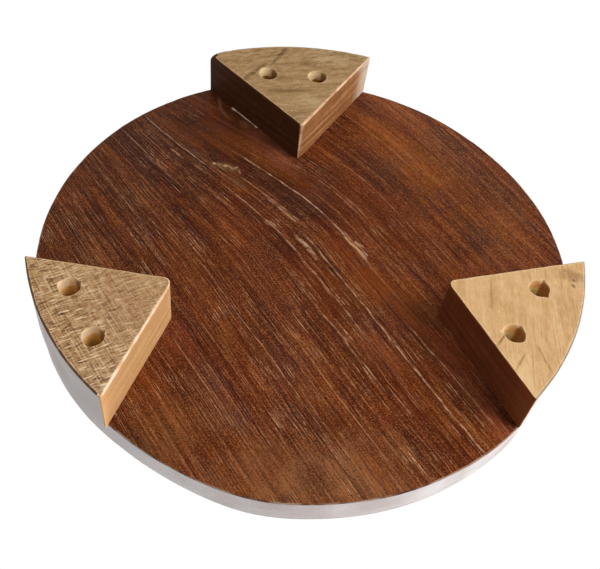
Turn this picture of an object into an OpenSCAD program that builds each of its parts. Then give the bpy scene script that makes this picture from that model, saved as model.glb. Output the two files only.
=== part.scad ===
// Round wooden rolling board on three wedge legs, each held by two deep-set screws.
// It stands on its feet at z = 0, centred on the Z axis, with the rolling face on top.

/* [Board] */
// Diameter of the board
board_d = 250; // [200:1:300]
// Thickness of the board
board_t = 16; // [14:0.5:30]
// Radius of the rounded edge round the rolling face
face_edge_r = 1.5; // [1:0.5:4]
// Size of the small bevel round the underside
under_bevel = 0.5; // [0.2:0.1:1]

/* [Legs] */
// Height of the legs, from the floor to the underside of the board
leg_h = 24; // [20:0.5:40]
// Angle between the two straight sides of a leg
leg_angle = 76; // [72:1:84]
// Radius of the rounded upright edge where the straight sides meet
nose_r = 2.5; // [1:0.1:4]

/* [Back leg] */
// Direction of the back leg, in degrees from the X axis
back_turn = 90; // [86:1:94]
// Length of the back leg, from the rim towards the middle
back_reach = 61.5; // [56:0.5:75]
// How far the back leg stands out past the rim
back_overhang = 0.6; // [0:0.1:1.5]
// How far the back leg is turned about its outer end, in degrees
back_skew = 0; // [-3:0.1:3]
// Distance from the back leg's outer face in to its screws
back_screw_inset = 24; // [20:0.5:26]
// Distance between the back leg's screws
back_screw_pitch = 26; // [20:0.5:28]
// How far the back leg's screws sit off its centre line
back_screw_shift = -0.7; // [-2:0.1:2]
// Slant of the line through the back leg's screws, in degrees
back_screw_slant = 4; // [-6:0.5:6]

/* [Left leg] */
// Direction of the left leg, in degrees from the X axis
left_turn = 210; // [206:1:214]
// Length of the left leg, from the rim towards the middle
left_reach = 58; // [54:0.5:75]
// How far the left leg stands out past the rim
left_overhang = 1.1; // [0:0.1:1.5]
// How far the left leg is turned about its outer end, in degrees
left_skew = -1; // [-3:0.1:3]
// Distance from the left leg's outer face in to its screws
left_screw_inset = 22.5; // [18:0.5:24]
// Distance between the left leg's screws
left_screw_pitch = 29; // [22:0.5:30]
// How far the left leg's screws sit off its centre line
left_screw_shift = -1; // [-2:0.1:2]
// Slant of the line through the left leg's screws, in degrees
left_screw_slant = 5.5; // [-6:0.5:6]

/* [Right leg] */
// Direction of the right leg, in degrees from the X axis
right_turn = 333; // [329:1:337]
// Length of the right leg, from the rim towards the middle
right_reach = 55.5; // [51:0.5:75]
// How far the right leg stands out past the rim
right_overhang = 1.1; // [0:0.1:1.5]
// How far the right leg is turned about its outer end, in degrees
right_skew = 0.6; // [-3:0.1:3]
// Distance from the right leg's outer face in to its screws
right_screw_inset = 16; // [13:0.5:19]
// Distance between the right leg's screws
right_screw_pitch = 27.5; // [22:0.5:30]
// How far the right leg's screws sit off its centre line
right_screw_shift = 2; // [-2.5:0.1:2.5]
// Slant of the line through the right leg's screws, in degrees
right_screw_slant = 3; // [-6:0.5:6]

/* [Screws] */
// Diameter of the wide hole that hides a screw's head
head_hole_d = 9; // [8.5:0.1:10]
// Wood left in the leg between a screw's head and the board
seat_t = 9; // [6:0.5:12]
// Wood left between a screw's tip and the rolling face
tip_skin = 5; // [3:0.5:6]
// Diameter of a screw's head
head_d = 8; // [7:0.1:8.4]
// Thickness of the head's straight edge
head_edge_t = 0.4; // [0.2:0.1:0.8]
// Diameter of a screw's shank and of its thread
shank_d = 4; // [3.4:0.1:4.5]
// Diameter of the core between the threads
core_d = 2.8; // [2.2:0.1:3]
// Distance from one thread to the next
thread_pitch = 1.8; // [1.5:0.1:2.4]
// Width of a thread ridge at its root
thread_root = 1.2; // [0.8:0.1:1.4]
// Length of a screw's point
point_len = 3; // [2:0.5:4]
// Width across the cross recess in a head
recess_w = 4.4; // [3.6:0.1:4.8]
// Width of each slot of the cross recess
recess_slot = 0.9; // [0.7:0.1:1.1]
// Depth of the cross recess
recess_depth = 1.8; // [1.2:0.1:2]
// Gap between the shank and its hole through the leg
shank_gap = 0.2; // [0.1:0.05:0.4]
// Gap between a screw and the wood that it seats in
fit_gap = 0.05; // [0.02:0.01:0.1]

/* [Hidden] */
SIDES = ["back", "left", "right"];
SCREWS = [1, 2];

turns = [back_turn, left_turn, right_turn];
reaches = [back_reach, left_reach, right_reach];
overhangs = [back_overhang, left_overhang, right_overhang];
skews = [back_skew, left_skew, right_skew];
insets = [back_screw_inset, left_screw_inset, right_screw_inset];
pitches = [back_screw_pitch, left_screw_pitch, right_screw_pitch];
shifts = [back_screw_shift, left_screw_shift, right_screw_shift];
slants = [back_screw_slant, left_screw_slant, right_screw_slant];

board_r = board_d / 2;
half_angle = leg_angle / 2;
head_hole_depth = leg_h - seat_t;
screw_len = seat_t + board_t - tip_skin;
// A flat head is a right-angled cone, so its height is the step in radius
head_cone_h = (head_d - shank_d) / 2;
// The plain shank narrows to the core just inside the board, and the thread follows
thread_start = seat_t + thread_pitch / 2;
thread_count = floor((screw_len - point_len - thread_start) / thread_pitch);
tip_d = 0.4;
board_fn = 180;
hole_fn = 48;
eps = 0.01;

WALNUT = [0.36, 0.2, 0.13];
HONEY = [0.76, 0.6, 0.42];
TAN = [0.68, 0.52, 0.36];
ZINC = [0.72, 0.72, 0.68];
LEG_COLORS = [TAN, HONEY, TAN];

// Middle line of leg i is the X axis of its children
module along_leg(i) {
    rotate([0, 0, turns[i]]) children();
}

// Children at the axis of screw n of leg i, at the floor
module at_screw(i, n) {
    side = n == SCREWS[0] ? -1 : 1;
    along_leg(i)
        translate([board_r + overhangs[i] - insets[i], shifts[i], 0])
            rotate([0, 0, slants[i]])
                translate([0, side * pitches[i] / 2, 0])
                    children();
}

// Half section of a screw from the head's face at z = 0 to its tip, wider by gap on every radius
function screw_section(gap) = concat(
    [
        [0, 0],
        [head_d / 2 + gap, 0],
        [head_d / 2 + gap, head_edge_t],
        [shank_d / 2 + gap, head_edge_t + head_cone_h],
        [shank_d / 2 + gap, seat_t],
        [core_d / 2 + gap, thread_start]
    ],
    [
        for (k = [1 : thread_count], p = thread_points(thread_start + k * thread_pitch, gap)) p
    ],
    [
        [core_d / 2 + gap, screw_len - point_len],
        [tip_d / 2 + gap, screw_len],
        [0, screw_len]
    ]
);

// One thread ridge with its crest at height z
function thread_points(z, gap) = [
    [core_d / 2 + gap, z - thread_root / 2],
    [shank_d / 2 + gap, z],
    [core_d / 2 + gap, z + thread_root / 2]
];

module screw_solid(gap) {
    rotate_extrude($fn = hole_fn) polygon(screw_section(gap));
}

module cross_recess() {
    for (turn = [0, 90])
        rotate([0, 0, turn])
            translate([-recess_w / 2, -recess_slot / 2, -eps])
                cube([recess_w, recess_slot, recess_depth + eps]);
}

module screw(i, n) {
    color(ZINC)
        at_screw(i, n)
            translate([0, 0, head_hole_depth])
                difference() {
                    screw_solid(0);
                    cross_recess();
                }
}

// Half section of the board, with a rounded upper edge and a small bevel below
module board_section() {
    difference() {
        polygon([
            [0, leg_h],
            [board_r - under_bevel, leg_h],
            [board_r, leg_h + under_bevel],
            [board_r, leg_h + board_t],
            [0, leg_h + board_t]
        ]);
        translate([board_r - face_edge_r, leg_h + board_t - face_edge_r])
            difference() {
                square(face_edge_r + eps);
                circle(r = face_edge_r, $fn = hole_fn);
            }
    }
}

module board() {
    color(WALNUT)
        difference() {
            rotate_extrude($fn = board_fn) board_section();
            for (i = [0 : len(SIDES) - 1], n = SCREWS)
                at_screw(i, n)
                    translate([0, 0, head_hole_depth])
                        screw_solid(fit_gap);
        }
}

// Plan of leg i: two straight sides that meet in a rounded nose, and a rim arc
module leg_plan(i) {
    rim_r = board_r + overhangs[i];
    nose_x = rim_r - reaches[i] + nose_r;
    side_x = nose_x - nose_r * sin(half_angle);
    side_y = nose_r * cos(half_angle);
    run = rim_r - side_x;
    rise = run * tan(half_angle);
    intersection() {
        circle(r = rim_r, $fn = board_fn);
        translate([rim_r, 0]) rotate([0, 0, skews[i]]) translate([-rim_r, 0])
            union() {
                translate([nose_x, 0]) circle(r = nose_r, $fn = hole_fn);
                polygon([
                    [side_x, -side_y],
                    [side_x + run, -side_y - rise],
                    [side_x + run, side_y + rise],
                    [side_x, side_y]
                ]);
            }
    }
}

// Hole in a leg for one screw: wide for the head, then its seat, then clear of the shank
module leg_hole() {
    translate([0, 0, -eps])
        cylinder(d = head_hole_d, h = head_hole_depth + eps, $fn = hole_fn);
    translate([0, 0, head_hole_depth])
        screw_solid(fit_gap);
    translate([0, 0, head_hole_depth])
        cylinder(r = shank_d / 2 + shank_gap, h = seat_t + eps, $fn = hole_fn);
}

module leg(i) {
    color(LEG_COLORS[i])
        difference() {
            along_leg(i) linear_extrude(height = leg_h) leg_plan(i);
            for (n = SCREWS)
                at_screw(i, n) leg_hole();
        }
}

board();
for (i = [0 : len(SIDES) - 1]) {
    leg(i);
    for (n = SCREWS)
        screw(i, n);
}
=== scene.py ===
"""Round wooden rolling board on three sawn wedge legs, seen from below as it lies upside down.

Lengths are in millimetres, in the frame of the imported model, until they go into a mesh or an object.
Colours are written as 0 to 255 values, as they look on a screen.
"""

import math

import bmesh
import bpy
import numpy as np
from mathutils import Matrix, Vector, noise
from mathutils.geometry import delaunay_2d_cdt


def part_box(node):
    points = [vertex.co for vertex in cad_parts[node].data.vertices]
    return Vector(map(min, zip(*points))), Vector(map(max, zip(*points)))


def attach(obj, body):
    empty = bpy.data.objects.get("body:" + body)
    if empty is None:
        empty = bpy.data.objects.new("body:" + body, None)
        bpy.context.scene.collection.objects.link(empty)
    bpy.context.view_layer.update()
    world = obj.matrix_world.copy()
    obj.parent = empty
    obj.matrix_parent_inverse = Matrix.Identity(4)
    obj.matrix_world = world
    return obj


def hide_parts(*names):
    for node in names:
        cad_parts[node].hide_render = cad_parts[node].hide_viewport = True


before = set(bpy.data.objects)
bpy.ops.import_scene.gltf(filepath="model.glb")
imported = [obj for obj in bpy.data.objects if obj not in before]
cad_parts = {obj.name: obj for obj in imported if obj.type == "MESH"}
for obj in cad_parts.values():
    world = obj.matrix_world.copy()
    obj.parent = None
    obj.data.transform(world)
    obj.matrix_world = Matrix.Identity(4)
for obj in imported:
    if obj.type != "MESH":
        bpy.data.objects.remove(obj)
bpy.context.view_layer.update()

MM = 0.001

# Board
BOARD_R = 125
BOARD_BOTTOM = 24
BOARD_TOP = 40
RIM_BEVEL = 0.5
FACE_EDGE_R = 1.5
FACE_DISH = 0.25
# Where the hand-turned rim swells or falls short of a circle: direction, spread and height
RIM_SPARE = 0.3
RIM_SWELLS = [(178, 22, 1.4), (-77, 9, 0.9), (-130, 8, 0.4), (-50, 14, -1)]
# Where the rim leans in towards the rolling face, in the same way
RIM_LEANS = [(-56, 22, -0.9)]

# Screw holes: radius of the wide hole, of the shank's hole and of the seat, and their depths
HEAD_HOLE_R = 4.5
SHANK_HOLE_R = 2.2
HEAD_R = 4.05
SEAT_Z = 15
HEAD_EDGE_T = 0.4
POCKET_R = 2.05
POCKET_END = 35.1

# Legs: direction, length in from the rim, where the sharp nose would lie (beyond the rounded one, and to the
# side), overhang past the rim, turn about the outer end, and how far the sides open out. Low and high are the
# straight sides, with low at the smaller angle. Then come the rounding of the upright corners, how far the walls
# fall back up to the board, how strong the painted highlight on the nose is, the width of the worn lower edges, and
# the knocked corner with its width and spread. Last are the spacing of the foot's points, the relief, direction and
# distance of the saw cuts, and the chips round each hole: direction, spread in degrees and depth.
LEG_ANGLE = 76
LEGS = {
    "back": {
        "turn": 90, "reach": 61.5, "tip": (1.2, 1), "overhang": 0.6, "skew": 0,
        "fan": {"low": 1.5, "high": -0.7}, "corners": {"nose_low": 1.6, "nose_high": 2.6, "low": 1.4, "high": 1},
        "lean": {"nose": 1.2, "low": 0.4, "outer": -0.5, "high": 0.5}, "nose_highlight": 1,
        "arris": {"low": 0.45, "outer": 0.7, "high": 0.8}, "knock": ("low", 4, 3.2),
        "relief": 0.06, "kerf_angle": 172, "kerf_pitch": 2.3,
        "chips": [[(60, 40, 0.6), (200, 22, 0.4)], [(20, 50, 0.6), (150, 24, 0.5)]],
    },
    "left": {
        "turn": 210, "reach": 58, "tip": (1.56, 0), "overhang": 1.1, "skew": -1,
        "corners": {"nose_low": 4.4, "nose_high": 5, "low": 0.9, "high": 0.9},
        "arris": {"low": 0.45, "outer": 0.7, "high": 0.35}, "knock": ("high", 0.9, 1.6),
        "relief": 0.05, "kerf_angle": 100, "kerf_pitch": 1.5,
        "chips": [[(120, 12, 1.4), (242, 11, 1.3), (10, 30, 0.5)], [(132, 16, 0.9), (230, 18, 0.6), (35, 30, 0.8)]],
    },
    "right": {
        "turn": 333, "reach": 55.5, "tip": (1.56, 0), "overhang": 1.1, "skew": 0.6, "nose_highlight": 0.2,
        "corners": {"nose_low": 8, "nose_high": 4.6, "low": 0.8, "high": 1},
        "arris": {"low": 0.9, "outer": 0.9, "high": 0.35}, "knock": ("low", 1.6, 1.6),
        "cell": 0.5, "relief": 0.3, "kerf_angle": 160, "kerf_pitch": 1.9,
        "chips": [[(144, 14, 1.1), (291, 24, 0.7), (30, 30, 0.3)], [(146, 12, 0.9), (284, 20, 0.6), (20, 24, 0.6)]],
    },
}

# Camera, fitted to the photograph
CAMERA_AT = (52.43, -260.61, -298.82)
CAMERA_AIM = (4.27, -17.67, 24)
CAMERA_UP = (-0.0088, 0.7984, -0.6021)
LENS = 52.577
SENSOR = 36

# Light of the world, which grows towards one side
AMBIENT = 0.4
SIDE_DIRECTION = (-0.98, -0.17, 0)
SIDE_LEVEL = 0.6
# Lamps: direction, distance and size in metres, and level
LAMPS = {"key": ((-0.62, -0.22, -0.75), 1.3, 0.55, 0.62), "top": ((-0.35, -0.45, 0.82), 1.4, 0.6, 0.7)}
# Floor: half its width and its place below the feet in metres, its paint, and where it fades and is gone
FLOOR_REACH = 3
FLOOR_DROP = -0.0002
FLOOR_PAINT = {"Base Color": (0.92, 0.92, 0.92, 1), "Roughness": 0.9, "Specular IOR Level": 0.1}
FLOOR_FADE = (200, 550)


def linear(colour):
    """Linear colour of a screen colour."""
    shares = [value / 255 for value in colour]
    return (*(share / 12.92 if share <= 0.04045 else ((share + 0.055) / 1.055) ** 2.4 for share in shares), 1)


def heading(degrees):
    """Unit step in a direction in the plan."""
    turn = math.radians(degrees)
    return math.cos(turn), math.sin(turn)


def turned_place(x, y, degrees):
    """How far a place in the plan lies along a direction, and across it."""
    dx, dy = heading(degrees)
    return x * dx + y * dy, y * dx - x * dy


def add_object(name, data):
    item = bpy.data.objects.new(name, data)
    bpy.context.scene.collection.objects.link(item)
    return item


class Nodes:
    """A node tree, with short calls for the nodes used here."""

    def __init__(self, tree):
        self.tree = tree

    def add(self, kind, **settings):
        node = self.tree.nodes.new(kind)
        for key, value in settings.items():
            setattr(node, key, value)
        return node

    def feed(self, socket, value):
        if isinstance(value, bpy.types.NodeSocket):
            self.tree.links.new(value, socket)
        else:
            socket.default_value = linear(value) if socket.type == "RGBA" else value

    def feed_all(self, sockets, values):
        for socket, value in zip(sockets, values):
            self.feed(socket, value)

    def math(self, operation, *values, clamp=False):
        node = self.add("ShaderNodeMath", operation=operation, use_clamp=clamp)
        self.feed_all(node.inputs, values)
        return node.outputs[0]

    def plus(self, first, second):
        return self.math("ADD", first, second)

    def minus(self, first, second):
        return self.math("SUBTRACT", first, second)

    def times(self, first, *others):
        for other in others:
            first = self.math("MULTIPLY", first, other)
        return first

    def most(self, values):
        """The largest of several values."""
        result, *others = values
        for value in others:
            result = self.math("MAXIMUM", result, value)
        return result

    def vector(self, operation, *values):
        node = self.add("ShaderNodeVectorMath", operation=operation)
        self.feed_all(node.inputs, values)
        return node.outputs["Value" if operation in ("LENGTH", "DOT_PRODUCT") else "Vector"]

    def ramp(self, value, start, end, low=0, high=1):
        """Smooth step from low at start to high at end."""
        node = self.add("ShaderNodeMapRange", interpolation_type="SMOOTHSTEP")
        self.feed_all(node.inputs, (value, start, end, low, high))
        return node.outputs["Result"]

    def slope(self, value, start, end):
        """Straight line from 0 at start to 1 at end, and level outside."""
        return self.math("DIVIDE", self.minus(value, start), end - start, clamp=True)

    def show(self, share, first, second, output):
        """Mixes two shaders by share into the tree's output."""
        mixed = self.add("ShaderNodeMixShader")
        self.feed_all(mixed.inputs, (share, first.outputs[0], second.outputs[0]))
        self.feed(self.tree.nodes[output].inputs["Surface"], mixed.outputs[0])


class Graph(Nodes):
    """The node tree of one material, which knows places on the piece in millimetres."""

    # Sockets of a Mix node for its share and its two colours, and for the colour that it gives
    MIX_INPUTS = (0, 6, 7)
    MIX_OUTPUT = 2

    def __init__(self, name):
        self.material = bpy.data.materials.new(name)
        self.material.use_nodes = True
        super().__init__(self.material.node_tree)
        self.shader = self.tree.nodes["Principled BSDF"]
        self.point = self.scaled(self.add("ShaderNodeTexCoord").outputs["Object"], 1 / MM)
        self.x, self.y, self.z = self.split(self.point)

    def scaled(self, vector, scale):
        node = self.add("ShaderNodeVectorMath", operation="SCALE")
        self.feed_all((node.inputs[0], node.inputs["Scale"]), (vector, scale))
        return node.outputs["Vector"]

    def split(self, vector):
        node = self.add("ShaderNodeSeparateXYZ")
        self.feed(node.inputs[0], vector)
        return node.outputs

    def join(self, x, y, z):
        node = self.add("ShaderNodeCombineXYZ")
        self.feed_all(node.inputs, (x, y, z))
        return node.outputs[0]

    def noise(self, vector, detail):
        """Soft noise from 0 to 1 whose blobs are about one unit wide."""
        node = self.add("ShaderNodeTexNoise")
        for name, value in (("Vector", vector), ("Scale", 1), ("Detail", detail)):
            self.feed(node.inputs[name], value)
        return node.outputs["Fac"]

    def cloud(self, size, detail=2):
        """Soft noise with blobs of one size in every direction."""
        return self.noise(self.scaled(self.point, 1 / size), detail)

    def drawn(self, *axes, detail=2):
        """Noise with a size along each axis: a value and its size, or a number that tells noises apart."""
        places = [self.math("DIVIDE", *axis) if isinstance(axis, tuple) else axis for axis in axes]
        return self.noise(self.join(*places), detail)

    def total(self, parts, start=0):
        """Start, and the weighted sum of noises about their middle. Each part is a noise and its weight."""
        for value, weight in parts:
            start = self.plus(start, self.times(self.minus(value, 0.5), weight))
        return start

    def shaded(self, shade, base, dark, light):
        """Base where shade is 0, dark at -1 and light at 1."""
        colour = self.mix(self.slope(shade, 0, 1), base, light)
        return self.mix(self.slope(shade, 0, -1), colour, dark)

    def marked(self, colour, rows, ragged):
        """Colour with soft patches over it. Each has a colour, middle, size, direction and strength."""
        for shade, centre, size, degrees, strength in rows:
            share = self.times(self.patch(centre, size, degrees, ragged), strength)
            colour = self.mix(share, colour, shade)
        return colour

    def mix(self, share, first, second):
        node = self.add("ShaderNodeMix", data_type="RGBA")
        self.feed_all([node.inputs[number] for number in self.MIX_INPUTS], (share, first, second))
        return node.outputs[self.MIX_OUTPUT]

    def attribute(self, name):
        return self.add("ShaderNodeAttribute", attribute_name=name).outputs["Fac"]

    def turned(self, degrees):
        """Place along a direction in the plan, and across it."""
        dx, dy = heading(degrees)
        return [self.vector("DOT_PRODUCT", self.point, way) for way in ((dx, dy, 0), (-dy, dx, 0))]

    def patch(self, centre, size, degrees, ragged):
        """1 in the middle of a soft oval on the plan, and 0 past its ragged edge."""
        axes = zip(self.turned(degrees), turned_place(*centre, degrees), size)
        shares = [self.math("DIVIDE", self.minus(value, middle), reach) for value, middle, reach in axes]
        distance = self.vector("LENGTH", self.join(*shares, 0))
        return self.ramp(self.plus(distance, self.minus(self.cloud(ragged, detail=3), 0.5)), 1, 0.15)

    def finish(self, colour, roughness, bumps, specular=0.3):
        """Roughness is a noise and what to give where it is low and high, and a bump is a height and a value."""
        value, low, high = roughness
        self.feed(self.shader.inputs["Base Color"], colour)
        self.feed(self.shader.inputs["Roughness"], self.ramp(value, 0.3, 0.7, low, high))
        self.shader.inputs["Specular IOR Level"].default_value = specular
        under = self.shader.inputs["Normal"]
        for height, value in reversed(bumps):
            node = self.add("ShaderNodeBump")
            node.inputs["Distance"].default_value = height * MM
            self.feed(node.inputs["Height"], value)
            self.feed(under, node.outputs["Normal"])
            under = node.inputs["Normal"]
        return self.material


# Board timber
GRAIN_TURN = 61
FLOW_SHIFT = 48.6
FLOW_CENTRE = 53.5
FLOW_WIDTH = 81
FLOW_START = -220
RING_TILT = 0.7

# Pale lines along the grain: place across it, start and end along it, half width, and strength
PALE_LINES = [
    (-30.8, -128, -70, 0.34, 0.6), (-19, -80, 26, 0.36, 0.75), (-32.6, -64, 60, 0.3, 0.5),
    (-28.3, -18, 64, 0.3, 0.55), (-28.4, 50, 130, 0.34, 0.65), (-22, 52, 122, 0.32, 0.55),
    (-9, -56, 24, 0.26, 0.35), (7, -44, 50, 0.28, 0.35), (31, -34, 40, 0.26, 0.3), (-37.2, 0, 78, 0.3, 0.4),
    (-43.4, -120, -70, 0.3, 0.45), (-56.5, -30, 90, 0.26, 0.35), (-26.2, -62, -8, 0.28, 0.4),
    (-80.6, 8, 66, 0.28, 0.4), (-64, -104, -52, 0.28, 0.35),
]

# Short pale flecks and scratches, as above
FLECKS = [
    (-30, -14, 6, 0.7, 0.6), (-18.6, -4, 18, 0.75, 0.55), (-17.6, 4, 16, 0.4, 0.8), (-0.9, -107, -84, 0.45, 1),
    (-27, -41, -18, 0.45, 0.5),
]

# Soft patches of another colour: colour, middle, size along and across, direction, and strength. The lighter
# ones beside the legs' walls, at (-28, -54), (14, 72) and (-67, -74), are painted light over the legs' cast
# shadows.
PATCHES = [
    ((46, 20, 9), (78, 78), (75, 48), 45, 0.9), ((58, 25, 10), (52, 30), (70, 40), 50, 0.6),
    ((50, 23, 12), (94, 18), (60, 44), 60, 0.7), ((50, 22, 10), (28, 68), (40, 24), 45, 0.7),
    ((52, 22, 9), (4, 34), (40, 15), 56, 0.7), ((58, 26, 11), (0, 10), (26, 12), 56, 0.5),
    # The second patch here is painted light over the left leg's cast shadow.
    ((60, 28, 12), (24, -48), (30, 12), 56, 0.4), ((140, 74, 40), (-28, -54), (24, 12), 60, 0.6),
    ((116, 60, 16), (-62, 58), (62, 30), 61, 0.8), ((126, 70, 32), (-98, 12), (24, 44), 20, 0.7),
    ((58, 24, 8), (-74, 0), (46, 9), -32, 0.6), ((132, 62, 20), (-33, -20), (62, 8), 55, 0.7),
    ((122, 64, 30), (8, -72), (36, 22), 61, 0.45), ((112, 52, 36), (60, -46), (16, 11), 61, 0.6),
    ((92, 58, 52), (42, -76), (30, 9), 61, 0.6), ((150, 98, 62), (6, -114), (58, 28), 4, 0.7),
    ((124, 76, 40), (70, -94), (38, 26), -35, 0.6), ((116, 60, 24), (-58, 96), (40, 26), 50, 0.5),
    ((76, 34, 14), (-10, -52), (40, 14), 58, 0.45), ((104, 50, 24), (24, 2), (50, 18), 58, 0.4),
    ((36, 15, 12), (44, 78), (44, 28), 45, 0.9), ((48, 20, 14), (2, 36), (34, 13), 50, 0.5),
    ((50, 22, 8), (-18, -20), (32, 8), 57, 0.7), ((60, 26, 16), (-44, 54), (62, 11), 50, 0.55),
    ((140, 76, 26), (-58, 72), (56, 13), 49, 0.6), ((70, 38, 24), (-88, 64), (42, 17), 50, 0.65),
    # Both patches here are painted light over the cast shadows of the back leg and the left leg.
    ((150, 84, 60), (14, 72), (30, 11), 52, 0.75), ((170, 82, 50), (-67, -74), (48, 9), 68, 0.85),
    ((48, 26, 12), (-104, 40), (22, 10), 60, 0.5),
]

# Smooth places with hardly any pale pores: middle, size along and across, and direction
CALM_PATCHES = [((42, 84), (46, 34), 45), ((0, 42), (40, 16), 50), ((-40, -30), (50, 12), 61)]

# Brighter and duller places of the rim's coat, in the same way. The brighter places at (64, -108), (-54, -113) and
# (-92, -84) are painted light.
RIM_PATCHES_AND_PAINTED_LIGHT = [
    ((228, 222, 220), (64, -108), (52, 44), 30, 0.75), ((222, 220, 220), (-54, -113), (22, 20), 0, 0.6),
    ((176, 160, 150), (124, -22), (20, 16), 0, 0.6), ((240, 232, 226), (-92, -84), (22, 16), 0, 0.8),
]

# Small ragged marks of the underside, in the same way. The near-white ones along the back leg's low wall, at (25,
# 94.9), (30.9, 102) and (19.6, 88.4), are a scratch whose brightness is partly a painted glint.
MARKS = [
    ((98, 64, 40), (31, 47), (12, 3.6), 43, 0.6), ((118, 84, 56), (36, 58), (10, 4), 20, 0.6),
    ((188, 156, 118), (42.2, 60.6), (1.7, 1.1), 20, 0.95), ((150, 116, 80), (39.4, 59.6), (2.2, 1.2), 30, 0.9),
    ((186, 152, 114), (36.6, 58.9), (1.8, 1), 10, 0.95), ((160, 124, 88), (33.8, 57.4), (2.8, 1), 50, 0.9),
    ((176, 144, 108), (31.2, 57.6), (1.5, 0.8), -40, 0.9), ((152, 114, 80), (29.8, 54.8), (2.4, 0.8), 70, 0.85),
    ((140, 102, 76), (38.4, 106), (8, 1.6), 84, 0.7), ((134, 96, 72), (36, 98), (6, 1.6), 60, 0.65),
    # These two near-white marks and the one below at (19.6, 88.4) are a scratch, partly a painted glint.
    ((255, 226, 192), (25, 94.9), (12.5, 0.85), 50.5, 1), ((255, 236, 208), (30.9, 102), (2.2, 1.2), 50.5, 1),
    ((136, 84, 60), (25.4, 89.6), (5, 3), 50, 0.75), ((255, 226, 192), (19.6, 88.4), (2.2, 1.1), 45.5, 1),
    ((206, 160, 112), (-22.6, 6.6), (4.2, 0.6), 52, 0.9), ((206, 158, 108), (-25.4, 3.4), (4.6, 0.6), 50, 0.95),
    ((214, 170, 120), (-20.6, 9.8), (2.4, 0.55), 60, 0.9), ((198, 150, 104), (-27.4, 5.6), (3.2, 0.5), 48, 0.8),
    ((190, 152, 124), (-0.6, 6.4), (5, 0.9), 48, 0.75), ((176, 134, 106), (14.6, 19.6), (4.4, 0.9), 50, 0.7),
]


def grain_of(g):
    """Place along and across the board's grain, whose lines fan out as the growth rings do."""
    along, across = g.turned(180 + GRAIN_TURN)
    across = g.times(across, -1)
    offset = g.math("DIVIDE", g.minus(across, FLOW_CENTRE), FLOW_WIDTH)
    bell = g.math("EXPONENT", g.times(offset, offset, -1))
    lean = g.times(g.ramp(along, FLOW_START, 0), bell)
    bent = g.minus(across, g.times(lean, FLOW_SHIFT))
    bent = g.total([(g.drawn((along, 60), (across, 24), 0), 1.6)], bent)
    return along, g.plus(bent, g.times(g.minus(g.z, BOARD_BOTTOM), RING_TILT))


def grain_line(g, along, across, line, offset=0, spread=1):
    """One line along the grain. Offset and spread give the dark line beside a pale one."""
    place, start, end, width, strength = line
    gap = g.math("ABSOLUTE", g.minus(across, place + offset))
    fade = 0.15 * (end - start)
    body = g.ramp(gap, width * spread, width * spread * 0.2)
    ends = g.times(g.ramp(along, start, start + fade), g.ramp(along, end, end - fade))
    return g.times(body, ends, strength)


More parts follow.
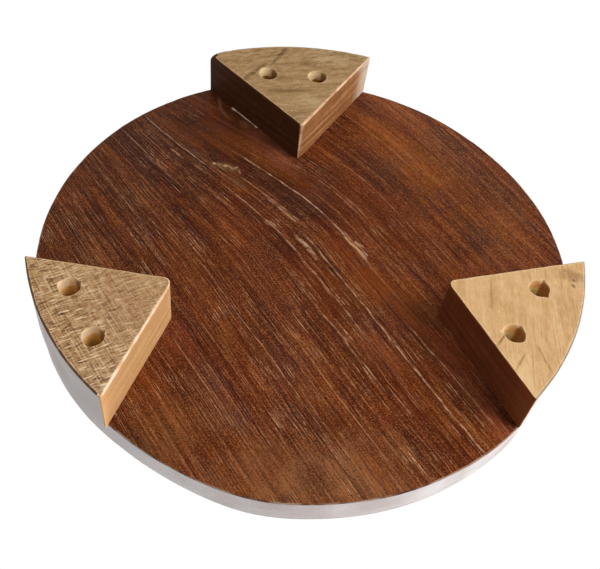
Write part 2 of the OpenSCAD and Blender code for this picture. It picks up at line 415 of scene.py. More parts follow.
def board_wood():
    g = Graph("board_wood")
    along, across = grain_of(g)

    def streaks(length, width, seed, detail=1, line=across):
        """Noise drawn out along the grain."""
        return g.drawn((along, length), (line, width), seed, detail=detail)

    base = (88, 36, 9)
    underside = g.ramp(g.z, BOARD_BOTTOM + 2, BOARD_BOTTOM + 1)
    # Patches show in full on the underside and at 0.3 of their strength elsewhere, so the painted light beside the
    # legs is weaker on the rolling face.
    colour = g.mix(g.plus(0.3, g.times(underside, 0.7)), base, g.marked(base, PATCHES, ragged=26))
    hue, stain = streaks(60, 11, 41, 3), g.cloud(24, detail=3)
    for value, end, strength, shade in [
        (hue, 0.68, 0.6, (58, 27, 17)), (hue, 0.32, 0.6, (118, 58, 17)),
        (stain, 0.66, 0.45, (82, 42, 32)), (stain, 0.34, 0.5, (104, 42, 20)),
    ]:
        colour = g.mix(g.ramp(value, 0.5, end, 0, strength), colour, shade)
    lower_left = g.ramp(across, 30, -60, 0.35, 1)
    bands = streaks(150, 4, 1, 3)
    fibres = streaks(30, 0.42, 9)
    flames = streaks(18, 1.2, 13, 2)
    blotches = streaks(4, 2.4, 17, 2)
    specks = g.cloud(0.85)
    shade = g.total([(bands, 1), (flames, 0.5), (blotches, 0.55), (specks, 1.65)])
    shade = g.times(shade, g.ramp(across, -10, 50, 1, 1.45))
    shade = g.plus(shade, g.times(g.total([(fibres, 1.75), (g.cloud(0.6), 2.7)]), lower_left))
    calm = g.most([g.patch(*place, ragged=20) for place in CALM_PATCHES])
    lively = g.minus(1, g.times(calm, 0.8))
    shade = g.times(shade, g.minus(1, g.times(calm, 0.5)))
    colour = g.shaded(shade, colour, (32, 13, 7), (164, 98, 54))
    crowd = g.ramp(g.cloud(16), 0.38, 0.62, 0.15, 1)
    broken = g.ramp(streaks(2.2, 1, 25), 0.4, 0.54, 0.2, 1)
    pores = g.ramp(streaks(20, 0.32, 21), 0.615, 0.675)
    pores = g.times(pores, g.times(crowd, lively), g.times(broken, lower_left))
    colour = g.mix(g.times(pores, 0.9), colour, (212, 160, 118))
    rough_line = g.total([(streaks(9, 5, 31, 3), 1.1)], across)
    gaps = g.ramp(streaks(4, 2, 35, 2), 0.4, 0.6, 0.25, 1)
    threads = g.ramp(streaks(110, 0.6, 51, line=rough_line), 0.63, 0.7, 0, 0.8)
    colour = g.mix(g.times(threads, gaps, lively), colour, (176, 116, 76))
    dark_threads = g.ramp(streaks(80, 0.8, 57, line=rough_line), 0.64, 0.72, 0, 0.6)
    colour = g.mix(dark_threads, colour, (44, 18, 10))
    shadows = g.most([grain_line(g, along, rough_line, line, -0.8, 2) for line in PALE_LINES])
    colour = g.mix(g.times(shadows, 0.35), colour, (46, 20, 12))
    lines = g.most([grain_line(g, along, rough_line, line) for line in PALE_LINES + FLECKS])
    colour = g.mix(g.times(lines, gaps, 0.85), colour, (220, 172, 134))
    colour = g.mix(underside, colour, g.marked(colour, MARKS, ragged=2))
    bumps = [(0.08, fibres), (0.10, g.ramp(pores, 0, 1, 1, 0)), (0.05, flames), (0.06, specks)]
    return g.finish(colour, (fibres, 0.62, 0.5), bumps, specular=0.07)


def pale_coat(name, *roughness):
    """Thin whitish coat of the turned rim: slight clouds, faint turning lines, and brighter and duller places, the
    brighter ones painted light.
    """
    g = Graph(name)
    turning = g.drawn((g.x, 40), (g.y, 40), (g.z, 0.5))
    shade = g.total([(g.cloud(18, detail=3), 2), (turning, 1.2), (g.cloud(1.5), 0.6)])
    base = g.marked((199, 188, 185), RIM_PATCHES_AND_PAINTED_LIGHT, ragged=30)
    clouds = g.cloud(9)
    colour = g.shaded(shade, base, (160, 144, 136), (224, 219, 218))
    return g.finish(colour, (clouds, *roughness), [(0.04, clouds)])


def bevel_wood():
    """Bare dark wood where the coat is worn off the rim's lower edge."""
    g = Graph("bevel_wood")
    spots = g.cloud(2.5, detail=3)
    colour = g.mix(g.ramp(spots, 0.4, 0.65), (82, 50, 34), (132, 92, 68))
    colour = g.mix(g.ramp(g.cloud(16), 0.45, 0.6, 0, 0.7), colour, (176, 144, 120))
    return g.finish(colour, (spots, 0.5, 0.65), [(0.08, spots)], specular=0.2)


# How each leg's foot looks: base, dark and light tones; the direction of its fibres; the weights of its soft
# bands, fibres, blotches and specks; the tone and strength of its saw cuts; the tone of its worn outer edge; the
# base tone of its holes, the tone painted deeper in them (painted shade, but painted light in the left leg) and the
# painted shade of their side away from the key lamp; and strokes with a direction, length, width, tone and strength
FOOT_LOOKS = {
    "back": {
        "tones": ((166, 132, 90), (104, 76, 44), (208, 178, 138)), "fibres": 170,
        "weights": (1.3, 0.5, 1.1, 1.3), "groove": ((128, 96, 62), 0.25),
        "edge": (128, 102, 72), "hole": ((246, 216, 168), (170, 118, 50), (104, 62, 20)),
        "strokes": [(128, 10, 0.9, (122, 90, 54), 0.4), (170, 7, 1.1, (116, 84, 50), 0.6)],
    },
    "left": {
        "tones": ((212, 170, 119), (160, 116, 70), (242, 210, 164)), "fibres": 100,
        "weights": (0.9, 0.6, 0.8, 0.6), "groove": ((186, 140, 92), 0.15),
        "edge": (156, 134, 120), "hole": ((238, 190, 130), (255, 234, 176), (140, 82, 26)),
        "strokes": [(98, 18, 0.8, (172, 126, 78), 0.6), (64, 9, 0.5, (240, 208, 164), 0.2)],
    },
    "right": {
        "tones": ((182, 140, 96), (106, 70, 40), (236, 200, 158)), "fibres": 60,
        "weights": (0.7, 0.4, 1.2, 1.3), "groove": ((104, 70, 40), 0.6),
        "edge": (98, 70, 48), "hole": ((248, 216, 174), (238, 190, 112), (132, 86, 36)),
        "strokes": [
            (160, 6, 1, (88, 54, 26), 1), (62, 10, 0.8, (112, 74, 42), 0.7),
            (160, 6, 0.9, (244, 214, 174), 0.85), (62, 16, 0.7, (234, 200, 156), 0.65),
            (148, 5, 1.1, (96, 60, 32), 0.8),
        ],
    },
}

# Tones of the two straight sides: base, dark, light and the worn lower edge, and how strong their grain shows.
# The lighter tones of the worn lower edges are partly a painted highlight, and the near-black tones of back_low
# and left_high, the sides turned away from the key lamp, are partly painted shade.
SIDE_LOOKS = {
    # back_low faces away from the key lamp; its near-black tones are partly painted shade.
    "back_low": ((72, 38, 17), (38, 19, 8), (98, 62, 36), (96, 66, 42), 0.6),
    "back_high": ((160, 106, 64), (108, 66, 36), (218, 168, 120), (236, 194, 158), 1),
    "left_low": ((150, 104, 68), (104, 66, 38), (188, 146, 104), (200, 160, 116), 1),
    # left_high faces away from the key lamp; its dark tones are partly painted shade.
    "left_high": ((108, 54, 28), (70, 31, 14), (144, 84, 48), (160, 108, 70), 0.6),
    "right_low": ((220, 167, 113), (184, 130, 80), (244, 202, 156), (250, 220, 190), 0.6),
    "right_high": ((170, 122, 80), (120, 80, 48), (200, 156, 112), (206, 166, 124), 1),
}
# Patches of the feet and of the straight sides, as on the board. The pale one on back_high, near its outer corner,
# is a painted highlight.
LEG_PATCHES = {
    "back_foot": [
        ((92, 64, 38), (6.5, 118), (13, 1.8), 124, 0.85), ((96, 68, 40), (20, 105), (15, 2.2), 132, 0.8),
        ((108, 78, 44), (6, 89.5), (18, 2.4), 178, 0.75), ((112, 82, 48), (-9, 111), (8, 3.4), 10, 0.6),
        ((118, 88, 52), (10, 99), (9, 2.6), 168, 0.5), ((196, 166, 124), (-6, 83), (12, 6), 20, 0.5),
        ((142, 110, 72), (0, 71), (12, 10), 0, 0.6), ((200, 168, 130), (-20, 116), (18, 8), 20, 0.45),
        ((140, 124, 84), (-30, 119), (10, 4), 10, 0.4),
    ],
    "left_foot": [
        ((156, 114, 74), (-116, -32.5), (13, 5), 20, 0.75), ((86, 54, 30), (-114.6, -38), (1.9, 1.3), 60, 0.95),
        ((100, 66, 38), (-115.6, -34.8), (1.6, 1.2), 60, 0.9), ((232, 194, 144), (-78, -84), (20, 15), 60, 0.5),
        ((188, 144, 98), (-108, -48), (16, 12), 100, 0.5), ((196, 150, 100), (-80, -48), (14, 6), 40, 0.5),
        ((142, 100, 58), (-75.7, -65.2), (8.5, 0.9), 131, 0.95),
        ((160, 118, 74), (-91.5, -75.5), (12, 0.9), 77, 0.8),
        ((160, 118, 74), (-80.7, -77), (7.5, 0.9), 127, 0.8),
        ((170, 126, 80), (-75.8, -42.5), (13, 0.9), 100, 0.6), ((178, 134, 88), (-95.2, -38), (15, 0.9), 92, 0.5),
        ((246, 218, 178), (-77.5, -61.8), (2.6, 1.2), 20, 0.8),
    ],
    "right_foot": [
        ((178, 132, 100), (84, -46), (22, 16), 60, 0.6), ((206, 172, 134), (88, -80), (18, 9), 60, 0.4),
        ((232, 200, 160), (79, -93), (20, 13), 60, 0.75), ((212, 176, 128), (101, -30), (20, 10), 60, 0.4),
        ((204, 164, 108), (120, -26), (12, 12), 0, 0.5),
    ],
    # Painted highlight: a pale patch near the outer corner of the back leg's high side.
    "back_high": [((226, 206, 182), (-42, 118), (14, 15), 30, 0.85)],
    "left_high": [((136, 72, 38), (-80, -96), (18, 18), 0, 0.7)],
    "right_low": [((238, 182, 142), (67, -106), (13, 13), 0, 0.7), ((212, 172, 106), (67, -70), (26, 16), 62, 0.5)],
}


def foot_wood(side):
    look = FOOT_LOOKS[side]
    g = Graph(f"foot_wood_{side}")
    base, dark, light = look["tones"]
    along, across = g.turned(look["fibres"])
    bent = g.total([(g.cloud(18), 8)], across)
    bands = g.drawn((along, 50), (bent, 3.5), (g.z, 4))
    fibres = g.drawn((along, 9), (bent, 0.6), (g.z, 0.7))
    blotches = g.drawn((along, 4), (across, 2.4), (g.z, 3))
    specks = g.cloud(0.8)
    shade = g.total(zip((bands, fibres, blotches, specks), look["weights"]))
    colour = g.shaded(shade, g.marked(base, LEG_PATCHES[f"{side}_foot"], ragged=4), dark, light)
    groove, strength = look["groove"]
    colour = g.mix(g.times(g.attribute("groove"), strength), colour, groove)
    near_rim = g.ramp(g.vector("LENGTH", g.join(g.x, g.y, 0)), 85, 122, 0.45, 1)
    for seed, (degrees, length, width, shade, strength) in enumerate(look["strokes"], 3):
        along, across = g.turned(degrees)
        stroke = g.ramp(g.drawn((along, length), (across, width), seed), 0.55, 0.68, 0, strength)
        colour = g.mix(g.times(stroke, near_rim), colour, shade)
    # Paler at the torn hole rims and along the foot's worn edges, where it is partly a painted highlight.
    colour = g.mix(g.times(g.attribute("worn"), 0.6), colour, light)
    return g.finish(colour, (fibres, 0.8, 0.65), [(0.06, fibres), (0.08, specks)], specular=0.15)


def side_wood(side, part):
    name = f"{side}_{part}"
    base, dark, light, wear_and_highlight_tone, strength = SIDE_LOOKS[name]
    g = Graph(f"side_wood_{name}")
    along, _ = g.turned(LEGS[side]["turn"] + (-1 if part == "low" else 1) * LEG_ANGLE / 2)
    sagged = g.total([(g.cloud(40), 3)], g.z)
    grain = g.drawn((along, 40), (sagged, 0.9), 7)
    bands = g.drawn((along, 60), (sagged, 3), 2)
    saw = g.drawn((g.x, 1.2), (g.y, 1.2), (g.z, 25))
    shade = g.total([
        (grain, 1.6 * strength), (bands, 1.6 * strength), (saw, 0.4), (g.cloud(1), 0.8), (g.cloud(6), 0.6),
    ])
    start = g.marked(base, LEG_PATCHES.get(name, []), ragged=6)
    colour = g.shaded(shade, start, dark, light)
    # Paler tone on the worn lower edge and the nose, partly a painted highlight.
    worn = g.times(g.attribute("worn"), g.ramp(g.cloud(7, detail=3), 0.35, 0.6, 0.35, 0.95))
    colour = g.mix(worn, colour, wear_and_highlight_tone)
    return g.finish(colour, (grain, 0.75, 0.6), [(0.06, grain), (0.04, saw)], specular=0.08)


def edge_wood(side):
    """Lower edge of a leg's outer face, where the coat is worn through."""
    g = Graph(f"edge_wood_{side}")
    chipped = g.cloud(2.4, detail=3)
    look = FOOT_LOOKS[side]
    colour = g.mix(g.ramp(chipped, 0.5, 0.75, 0, 0.6), look["edge"], look["tones"][0])
    return g.finish(colour, (chipped, 0.5, 0.7), [(0.10, chipped)], specular=0.15)


def hole_wood(side):
    """Drilled wall: end fibres with the faint rings that a bit leaves, a painted tone deeper in, and painted shade
    on one side.
    """
    g = Graph(f"hole_wood_{side}")
    look = FOOT_LOOKS[side]
    _, dark, light = look["tones"]
    base, deep, painted_shade_tone = look["hole"]
    rings = g.drawn((g.x, 6), (g.y, 6), (g.z, 0.5))
    colour = g.shaded(g.total([(rings, 0.8), (g.cloud(1.2), 0.8)]), base, dark, light)
    # Deeper in, a painted tone: painted shade in the back and right legs, painted light in the left leg.
    colour = g.mix(g.ramp(g.total([(g.cloud(3), 3)], g.z), 4.4, 5.8), colour, deep)
    # Painted shade on the walls facing +x, the side of the hole away from the key lamp.
    facing = g.split(g.add("ShaderNodeNewGeometry").outputs["Normal"])[0]
    colour = g.mix(g.ramp(facing, 0.3, 0.65, 0, 0.85), colour, painted_shade_tone)
    colour = g.mix(g.times(g.attribute("worn"), 0.8), colour, light)
    return g.finish(colour, (rings, 0.8, 0.7), [(0.10, rings)], specular=0.15)


def screw_steel():
    g = Graph("screw_steel")
    film = g.cloud(1.5, detail=3)
    brushed = g.drawn((g.x, 0.3), (g.y, 2), (g.z, 0.3))
    colour = g.mix(g.ramp(film, 0.4, 0.7), (196, 192, 178), (150, 140, 118))
    g.shader.inputs["Metallic"].default_value = 1
    return g.finish(colour, (film, 0.3, 0.5), [(0.02, brushed)], specular=0.5)


# Heights closer than this are the same
TOUCH = 0.001
# Places of the materials on a leg and on the board
FOOT, SIDE_LOW, SIDE_HIGH, OUTER, EDGE, HOLE = range(6)
FACE, COAT, BEVEL = range(3)


def curve_through(before, corner, after, steps):
    """Points of a rounded corner, from before to just short of after."""
    shares = [k / steps for k in range(steps)]
    return [before * (1 - t) ** 2 + corner * 2 * t * (1 - t) + after * t ** 2 for t in shares]


def line_through(start, end, spacing):
    """Points from start to just short of end."""
    steps = max(1, round((end - start).length / spacing))
    return [start.lerp(end, k / steps) for k in range(steps)]


def humps(angle, rows):
    """Sum of soft humps round a circle, each with its direction, spread and height."""
    total = 0
    for middle, spread, height in rows:
        off = (angle - middle + 180) % 360 - 180
        total += height * math.exp(-(off / spread) ** 2)
    return total


def wobble(x, y, z):
    """Soft noise from -1 to 1 at a place."""
    return noise.noise(Vector((x, y, z)))


def value_at(value, place):
    """The value itself, or what it gives for a place if it is a function."""
    return value(place) if callable(value) else value


def screw_axis(side, number):
    low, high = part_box(f"screw_{side}_{number}")
    return ((low + high) / 2 / MM).to_2d()


class Block:
    """Mesh of one piece of timber: its points, how worn each is (with the painted highlight of a leg's nose), its
    faces, and the material of each face.
    """

    SHARP = math.radians(42)
    # Least gap between the net and the loops, as a share of its cell
    CLEARANCE = 0.55
    CLOSE = 1e-5

    def __init__(self, name):
        self.name = name
        self.points, self.worn, self.faces, self.paint = [], [], [], []

    def add_point(self, x, y, z, worn=0):
        self.points.append((x, y, z))
        self.worn.append(worn)
        return len(self.points) - 1

    def add_circle(self, centre, steps, radius, z, worn=0):
        """Ring round a centre. Radius and height may depend on the direction, in degrees."""
        ring = []
        for angle in (360 * k / steps for k in range(steps)):
            reach, (dx, dy) = value_at(radius, angle), heading(angle)
            ring.append(self.add_point(centre[0] + reach * dx, centre[1] + reach * dy, value_at(z, angle), worn))
        return ring

    def skin(self, rings, regions):
        """Bands of faces from ring to ring. Each has one material, or a list with one for each face."""
        for first, second, region in zip(rings, rings[1:], regions):
            for k in range(len(first)):
                after = (k + 1) % len(first)
                self.faces.append((first[k], first[after], second[after], second[k]))
                self.paint.append(region[k] if isinstance(region, list) else region)

    def cap(self, loops, region, cell=None):
        """Fills a flat face inside the first loop and outside the others. Cell spaces a net of points in it."""
        level = self.points[loops[0][0]][2]
        flat = [np.array([self.points[i][:2] for i in loop]) for loop in loops]
        index = [i for loop in loops for i in loop]
        edges, start = [], 0
        for loop in flat:
            edges += [(start + k, start + (k + 1) % len(loop)) for k in range(len(loop))]
            start += len(loop)
        spots = [Vector(spot) for loop in flat for spot in loop]
        if cell:
            spots += self.net(flat, cell)
        places, _, faces, origins, _, _ = delaunay_2d_cdt(spots, edges, [], 2, self.CLOSE, True)
        middles = [sum((places[k] for k in face), Vector((0, 0))) / len(face) for face in faces]
        corner = []
        for place, sources in zip(places, origins):
            known = [index[k] for k in sources if k < len(index)]
            corner.append(known[0] if known else self.add_point(*place, level))
        for face, wanted in zip(faces, self.between(flat, np.array(middles))):
            if wanted:
                self.faces.append(tuple(corner[k] for k in face))
                self.paint.append(region)

    def net(self, loops, cell):
        """Staggered net of points inside the outer loop, clear of every loop."""
        low, high = loops[0].min(0), loops[0].max(0)
        rows = np.arange(low[1], high[1], cell * math.sqrt(0.75))
        spots = np.array([
            (x + (0.5 * cell if row % 2 else 0), y)
            for row, y in enumerate(rows) for x in np.arange(low[0], high[0], cell)
        ])
        spots = spots[self.between(loops, spots)]
        edge = np.concatenate(loops)
        nearest = np.array([np.hypot(*(edge - spot).T).min() for spot in spots])
        return [Vector(spot) for spot in spots[nearest > self.CLEARANCE * cell]]

    @staticmethod
    def between(loops, spots):
        """Which spots lie inside the first loop and outside the others: a line from them crosses odd edges."""
        x, y = spots.T
        inside = np.zeros(len(spots), bool)
        for loop in loops:
            for (x1, y1), (x2, y2) in zip(loop, np.roll(loop, -1, axis=0)):
                crosses = (y1 > y) != (y2 > y)
                if crosses.any():
                    inside ^= crosses & (x < x1 + (y - y1) * (x2 - x1) / (y2 - y1))
        return inside

    def finish(self, materials, **marks):
        """Makes the object. Marks are more values of the points, by name."""
        mesh = bpy.data.meshes.new(self.name)
        mesh.from_pydata([Vector(point) * MM for point in self.points], [], self.faces)
        for name, values in {"worn": self.worn, **marks}.items():
            layer = mesh.attributes.new(name, "FLOAT", "POINT")
            layer.data.foreach_set("value", np.array(values, np.float32))
        for material in materials:
            mesh.materials.append(material)
        mesh.polygons.foreach_set("material_index", np.array(self.paint, np.int32))
        shape = bmesh.new()
        shape.from_mesh(mesh)
        bmesh.ops.recalc_face_normals(shape, faces=shape.faces)
        shape.to_mesh(mesh)
        shape.free()
        mesh.shade_smooth()
        mesh.set_sharp_from_angle(angle=self.SHARP)
        return add_object(self.name, mesh)


class Board(Block):
    """The hand-turned disc, with its uneven rim, its slightly hollow rolling face and the screws' pockets."""

    STEPS = 720
    RIM_ROWS = 10
    EDGE_ROWS = 5
    FACE_CELL = 9
    POCKET_STEPS = 24
    # Inset and height of the rings of the worn lower edge, as shares of its width
    BEVEL_RINGS = [(0.25, 0.4), (1, 0)]

    def radius(self, angle, z):
        """Radius of the rim in a direction in degrees, at a height."""
        height = (z - BOARD_BOTTOM) / (BOARD_TOP - BOARD_BOTTOM)
        dx, dy = heading(angle)
        rough = wobble(dx * 9, dy * 9, z / 5)
        return BOARD_R + RIM_SPARE + humps(angle, RIM_SWELLS) + height * humps(angle, RIM_LEANS) + 0.12 * rough

    def bevel(self, angle):
        """Width of the worn lower edge in a direction."""
        place = Vector((*heading(angle), 0))
        return RIM_BEVEL * (1 + 0.5 * noise.noise(place * 7) + 0.35 * noise.noise(place * 40))

    def add_rim_ring(self, inset, z):
        """Ring of the rim, with values as for add_circle."""
        def reach(angle):
            return self.radius(angle, value_at(z, angle)) - value_at(inset, angle)
        return self.add_circle((0, 0), self.STEPS, reach, z)

    def build_rim(self):
        """Rounded upper edge, rim and worn lower edge. Returns the first and last rings."""
        rings = []
        for row in range(self.EDGE_ROWS + 1):
            turn = math.pi / 2 * row / self.EDGE_ROWS
            rings.append(self.add_rim_ring(
                FACE_EDGE_R * (1 - math.sin(turn)), BOARD_TOP - FACE_EDGE_R * (1 - math.cos(turn))))
        top = BOARD_TOP - FACE_EDGE_R
        for row in range(1, self.RIM_ROWS + 1):
            share = row / self.RIM_ROWS
            rings.append(self.add_rim_ring(
                0, lambda angle: top + (BOARD_BOTTOM + self.bevel(angle) - top) * share))
        for inset, rise in self.BEVEL_RINGS:
            rings.append(self.add_rim_ring(
                lambda angle: inset * self.bevel(angle), lambda angle: BOARD_BOTTOM + rise * self.bevel(angle)))
        self.skin(rings, [FACE] * self.EDGE_ROWS + [COAT] * self.RIM_ROWS + [BEVEL] * len(self.BEVEL_RINGS))
        return rings[0], rings[-1]

    def build_pocket(self, centre):
        """Blind hole of one screw, up to its tip. Returns the ring in the underside."""
        levels = (BOARD_BOTTOM, POCKET_END - POCKET_R)
        low, high = (self.add_circle(centre, self.POCKET_STEPS, POCKET_R, z) for z in levels)
        self.skin([low, high], [FACE])
        tip = self.add_point(*centre, POCKET_END)
        self.faces += [(first, after, tip) for first, after in zip(high, high[1:] + high[:1])]
        self.paint += [FACE] * self.POCKET_STEPS
        return low

    def make(self):
        face, underside = self.build_rim()
        pockets = [self.build_pocket(screw_axis(side, number)) for side in LEGS for number in (1, 2)]
        self.cap([face], FACE, self.FACE_CELL)
        self.cap([underside, *pockets], FACE)
        for k, (x, y, z) in enumerate(self.points):
            if z > BOARD_TOP - TOUCH:
                hollow = max(0, 1 - (math.hypot(x, y) / (BOARD_R - FACE_EDGE_R)) ** 2)
                self.points[k] = (x, y, z - FACE_DISH * hollow)
        return self.finish([board_wood(), pale_coat("rim_coat", 0.4, 0.52), bevel_wood()])


class Leg(Block):
    """One wedge leg, with its sawn foot, rounded corners, worn edges with a partly painted highlight, and the two
    drilled holes.
    """

    SPACING = 0.8
    WALL_ROWS = 12
    WALL_END = 5
    ARRIS_ROWS = 5
    ARRIS_START = 0.15
    NOSE_STEPS = 10
    CORNER_STEPS = 6
    # Share of a knock from which the outer face's edge takes the wood of the side next to it
    KNOCK_EDGE = 0.35
    NOSE_PAINT = {"back": SIDE_HIGH, "left": SIDE_HIGH, "right": SIDE_LOW}
    HOLE_STEPS = 56
    TORN_WORN = 0.6
    # Rings of a hole from the foot up: radius, height, and share of the torn edge
    HOLE_PROFILE = [
        *((HEAD_HOLE_R, z, torn) for z, torn in ((0, 1), (0.35, 0.75), (0.9, 0.35))),
        *((HEAD_HOLE_R, z, 0) for z in (1.8, 6, 10.5, SEAT_Z)),
        (HEAD_R, SEAT_Z, 0), (HEAD_R, SEAT_Z + HEAD_EDGE_T, 0),
        (SHANK_HOLE_R, SEAT_Z + HEAD_EDGE_T + HEAD_R - SHANK_HOLE_R, 0), (SHANK_HOLE_R, BOARD_BOTTOM, 0),
    ]

    def __init__(self, side):
        super().__init__(f"wood_leg_{side}")
        self.side = side
        self.data = {"fan": {}, "lean": {}, "nose_highlight": 0, "cell": 0.8, **LEGS[side]}
        self.rim_r = BOARD_R + self.data["overhang"]
        self.outline, self.parts, corners = self.plan()
        self.normals = self.outward()
        arris = self.data["arris"]
        self.leans = self.smoothed([self.data["lean"].get(part, 0) for part in self.parts])
        self.widths = self.smoothed([arris.get(part, arris["high"]) for part in self.parts])
        self.knock_part, width, spread = self.data["knock"]
        corner = corners[self.knock_part]
        self.knocks = [math.exp(-((point - corner).length / spread) ** 2) for point in self.outline]
        middle = sum(self.outline, Vector((0, 0))) / len(self.outline)
        to_middle = (middle - corner).normalized()
        self.inward = []
        for k, share in enumerate(self.knocks):
            self.widths[k] += (width - self.widths[k]) * share
            self.inward.append((-self.normals[k]).lerp(to_middle, share).normalized())

    @staticmethod
    def smoothed(values):
        """Each value of a ring averaged with its neighbours."""
        near = range(-3, 4)
        return [sum(values[(k + j) % len(values)] for j in near) / len(near) for k in range(len(values))]

    def plan(self):
        """Outline of the foot, anticlockwise from the nose, the part of each point, and the outer corners."""
        ease, radius = self.data["corners"], self.rim_r
        skew = Matrix.Rotation(math.radians(self.data["skew"]), 2)
        beyond, aside = self.data["tip"]
        tip = Vector((radius, 0)) - skew @ Vector((self.data["reach"] + beyond, -aside))

        def on_rim(angle):
            return Vector((math.cos(angle), math.sin(angle))) * radius

        def straight_side(part, sign):
            """Ends of one straight side, its outer corner, and the angle where the rim's arc meets it."""
            opening = math.radians(LEG_ANGLE / 2 + self.data["fan"].get(part, 0))
            way = skew @ Vector((math.cos(opening), sign * math.sin(opening)))
            ahead = tip.dot(way)
            corner = tip + way * (math.sqrt(radius ** 2 - tip.length_squared + ahead ** 2) - ahead)
            arc = math.atan2(corner.y, corner.x) - sign * ease[part] / radius
            return tip + ease[f"nose_{part}"] * way, corner - ease[part] * way, corner, arc

        low_start, low_end, low_corner, arc_start = straight_side("low", -1)
        high_start, high_end, high_corner, arc_end = straight_side("high", 1)
        arc_steps = round((arc_end - arc_start) * radius / self.SPACING)
        runs = [
            ("nose", curve_through(high_start, tip, low_start, self.NOSE_STEPS)),
            ("low", line_through(low_start, low_end, self.SPACING)),
            ("low", curve_through(low_end, low_corner, on_rim(arc_start), self.CORNER_STEPS)),
            ("outer", [on_rim(arc_start + (arc_end - arc_start) * k / arc_steps) for k in range(arc_steps)]),
            ("high", curve_through(on_rim(arc_end), high_corner, high_end, self.CORNER_STEPS)),
            ("high", line_through(high_end, high_start, self.SPACING)),
        ]
        turn = Matrix.Rotation(math.radians(self.data["turn"]), 2)
        parts = [part for part, run in runs for _ in run]
        corners = {"low": turn @ low_corner, "high": turn @ high_corner}
        return [turn @ point for _, run in runs for point in run], parts, corners

    def outward(self):
        """Unit normal of the outline at each of its points."""
        ring = self.outline
        ways = [after - before for before, after in zip(ring[-1:] + ring, ring[1:] + ring[:1])]
        return [Vector((way.y, -way.x)).normalized() for way in ways]

    def groove(self, x, y):
        """How deep the saw cut into the foot at a place, from 0 to 1."""
        along, across = turned_place(x, y, self.data["kerf_angle"])
        drift = wobble(along / 8, across / 5, 3) * 0.9
        drift += wobble(along / 24, across / 12, 5) * 1.4
        wave = 0.5 + 0.5 * math.cos(2 * math.pi * (across + drift) / self.data["kerf_pitch"])
        reach = min(1, max(0, (math.hypot(x, y) - self.rim_r + 34) / 30))
        patchy = max(0, 0.45 + 0.9 * wobble(along / 4.5, across / 2.2, 8))
        return wave * (0.25 + 0.75 * reach) * min(1, patchy)

    def arris_width(self, k):
        """Width of the worn lower edge at point k of the outline."""
        x, y = self.outline[k]
        rough = wobble(x / 5, y / 5, 1) + 0.5 * wobble(x, y, 6)
        return self.widths[k] * (1 + 0.45 * rough)

    def wall_wave(self, k, z):
        """How far the wall falls back from the true plane."""
        x, y = self.outline[k]
        wave = 0.12 * (0.5 + 0.5 * wobble(x / 14, y / 14, z / 9))
        return wave + self.leans[k] * z / BOARD_BOTTOM

    def wall_ring(self, inset, z, worn=0):
        """Ring round the leg. Inset and height may depend on the number of the outline's point."""
        ring = []
        for k, (point, normal, inward) in enumerate(zip(self.outline, self.normals, self.inward)):
            height = value_at(z, k)
            place = point - normal * self.wall_wave(k, height) + inward * value_at(inset, k)
            # The nose's wear value is its painted highlight; the worn edge fades out at the knocked corner.
            ring.append(self.add_point(*place, height, max(self.nose_highlight(k), worn * (1 - self.knocks[k]))))
        return ring

    def nose_highlight(self, k):
        """How strong the painted highlight on the upright edge at the nose is at point k of the outline."""
        off_middle = abs(k - self.NOSE_STEPS / 2) / (self.NOSE_STEPS / 2)
        return self.data["nose_highlight"] * max(0, 1 - off_middle ** 2)

    def build_wall(self):
        """Outer walls from the board down, and the worn edge. Returns the first and last rings."""
        rings = []
        for row in range(self.WALL_ROWS + 1):
            rings.append(self.wall_ring(0, BOARD_BOTTOM + (self.WALL_END - BOARD_BOTTOM) * row / self.WALL_ROWS))
        rings.append(self.wall_ring(0, lambda k: self.arris_width(k) + self.ARRIS_START))
        for row in range(self.ARRIS_ROWS + 1):
            turn = row / self.ARRIS_ROWS * math.pi / 2
            inset, rise = 1 - math.cos(turn), 1 - math.sin(turn)
            rings.append(self.wall_ring(
                lambda k: inset * self.arris_width(k), lambda k: rise * self.arris_width(k), min(1, row)))
        paint = {"low": SIDE_LOW, "outer": OUTER, "high": SIDE_HIGH, "nose": self.NOSE_PAINT[self.side]}
        regions = [paint[part] for part in self.parts]
        worn_regions = [EDGE if region == OUTER else region for region in regions]
        for k, share in enumerate(self.knocks):
            if share > self.KNOCK_EDGE and self.parts[k] == "outer":
                worn_regions[k] = paint[self.knock_part]
        self.skin(rings, [regions] * (len(rings) - 1 - self.ARRIS_ROWS) + [worn_regions] * self.ARRIS_ROWS)
        return rings[0], rings[-1]

    def torn(self, hole, angle):
        """How far the wood is torn back at an angle round a hole."""
        dx, dy = heading(angle)
        rough = wobble(dx * 2 + 9 * hole, dy * 2, 4)
        return max(0, 0.12 + 0.15 * rough + humps(angle, self.data["chips"][hole]))

    def build_hole(self, hole):
        """Wall of a hole: torn rim, seat and shank's hole. Returns the first and last rings."""
        centre = screw_axis(self.side, hole + 1)
        rings = []
        for radius, z, share in self.HOLE_PROFILE:
            rings.append(self.add_circle(
                centre, self.HOLE_STEPS, lambda angle: radius + share * self.torn(hole, angle), z,
                worn=self.TORN_WORN * share))
        self.skin(rings, [HOLE] * len(rings))
        return rings[0], rings[-1]

    def make(self):
        top, foot = self.build_wall()
        rims, shanks = zip(*(self.build_hole(hole) for hole in (0, 1)))
        self.cap([foot, *rims], FOOT, self.data["cell"])
        self.cap([top, *shanks], FOOT)
        grooves = [self.groove(x, y) if z < TOUCH else 0 for x, y, z in self.points]
        self.points = [(x, y, z + self.data["relief"] * cut) for (x, y, z), cut in zip(self.points, grooves)]
        side = self.side
        materials = [
            foot_wood(side), side_wood(side, "low"), side_wood(side, "high"),
            pale_coat(f"pale_coat_{side}", 0.38, 0.5), edge_wood(side), hole_wood(side),
        ]
        return self.finish(materials, groove=grooves)


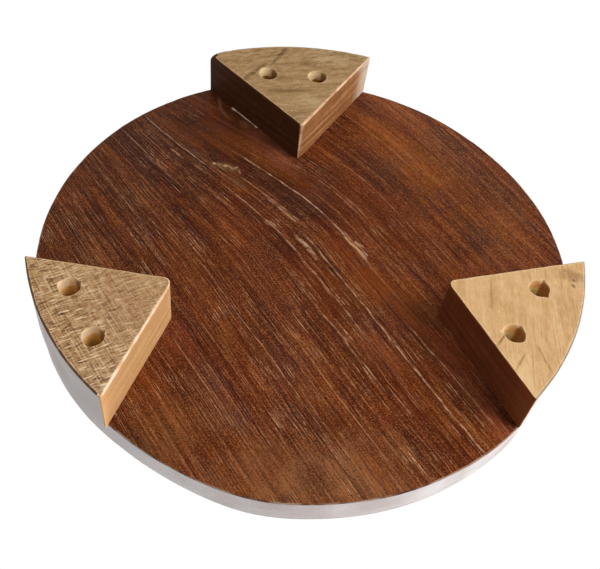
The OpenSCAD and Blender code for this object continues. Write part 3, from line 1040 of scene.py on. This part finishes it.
def place_piece(piece, node):
    """Lets a piece of timber stand for a CAD node."""
    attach(piece, "root")
    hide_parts(node)


def make_timber():
    place_piece(Board("timber_board").make(), "board")
    for side in LEGS:
        place_piece(Leg(side).make(), f"leg_{side}")


def paint_screws():
    """The screws keep their CAD shapes."""
    steel = screw_steel()
    for name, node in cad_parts.items():
        if name.startswith("screw"):
            node.data.materials.clear()
            node.data.materials.append(steel)


def make_camera():
    """The camera looks up at the underside, with its up direction as in the photograph."""
    place, aim = Vector(CAMERA_AT), Vector(CAMERA_AIM)
    forward = (aim - place).normalized()
    right = forward.cross(Vector(CAMERA_UP)).normalized()
    up = right.cross(forward)
    camera = add_object("camera", bpy.data.cameras.new("camera"))
    camera.data.sensor_width = SENSOR
    camera.data.lens = LENS
    camera.data.clip_start = 0.01
    turn = Matrix((right, up, -forward)).transposed()
    camera.matrix_world = Matrix.Translation(place * MM) @ turn.to_4x4()
    bpy.context.scene.camera = camera


def make_lamp(name, direction, distance, size, level):
    """Square soft lamp. Level is the share of its colour that a surface facing the lamp gives back."""
    light = bpy.data.lights.new(name, "AREA")
    light.shape = "SQUARE"
    light.size = size
    light.energy = level * math.pi ** 2 * distance ** 2
    lamp = add_object(name, light)
    away = Vector(direction).normalized()
    lamp.matrix_world = Matrix.Translation(away * distance) @ away.to_track_quat("Z", "Y").to_matrix().to_4x4()
    lamp.visible_camera = False
    lamp.visible_glossy = False


def make_world():
    """White where it is seen or mirrored, and a soft light that grows to one side otherwise."""
    world = bpy.data.worlds.new("studio")
    world.use_nodes = True
    g = Nodes(world.node_tree)
    soft, white = g.tree.nodes["Background"], g.add("ShaderNodeBackground")
    for background in (soft, white):
        g.feed(background.inputs["Color"], (255, 255, 255))
    toward = g.vector("DOT_PRODUCT", g.add("ShaderNodeTexCoord").outputs["Generated"], SIDE_DIRECTION)
    g.feed(soft.inputs["Strength"], g.plus(g.times(g.slope(toward, 0, 1), SIDE_LEVEL), AMBIENT))
    rays = g.add("ShaderNodeLightPath").outputs
    seen = g.most([rays[f"Is {kind} Ray"] for kind in ("Camera", "Glossy", "Transmission")])
    g.show(seen, soft, white, "World Output")
    bpy.context.scene.world = world


def make_floor():
    """Pale floor under the feet that fades out to white. It is open from below, where the camera is."""
    mesh = bpy.data.meshes.new("floor")
    corners = [(x * FLOOR_REACH, y * FLOOR_REACH, 0) for x, y in ((-1, -1), (1, -1), (1, 1), (-1, 1))]
    mesh.from_pydata(corners, [], [(0, 1, 2, 3)])
    g = Graph("floor")
    for name, value in FLOOR_PAINT.items():
        g.shader.inputs[name].default_value = value
    faded = g.ramp(g.vector("LENGTH", g.point), *FLOOR_FADE)
    hidden = g.most([g.add("ShaderNodeNewGeometry").outputs["Backfacing"], faded])
    g.show(hidden, g.shader, g.add("ShaderNodeBsdfTransparent"), "Material Output")
    mesh.materials.append(g.material)
    floor = add_object("floor", mesh)
    floor.location.z = FLOOR_DROP
    for ray in ("diffuse", "glossy", "transmission", "shadow"):
        setattr(floor, f"visible_{ray}", False)


paint_screws()
make_timber()
make_camera()
for name, settings in LAMPS.items():
    make_lamp(name, *settings)
make_world()
make_floor()
bpy.context.scene.view_settings.view_transform = "Standard"
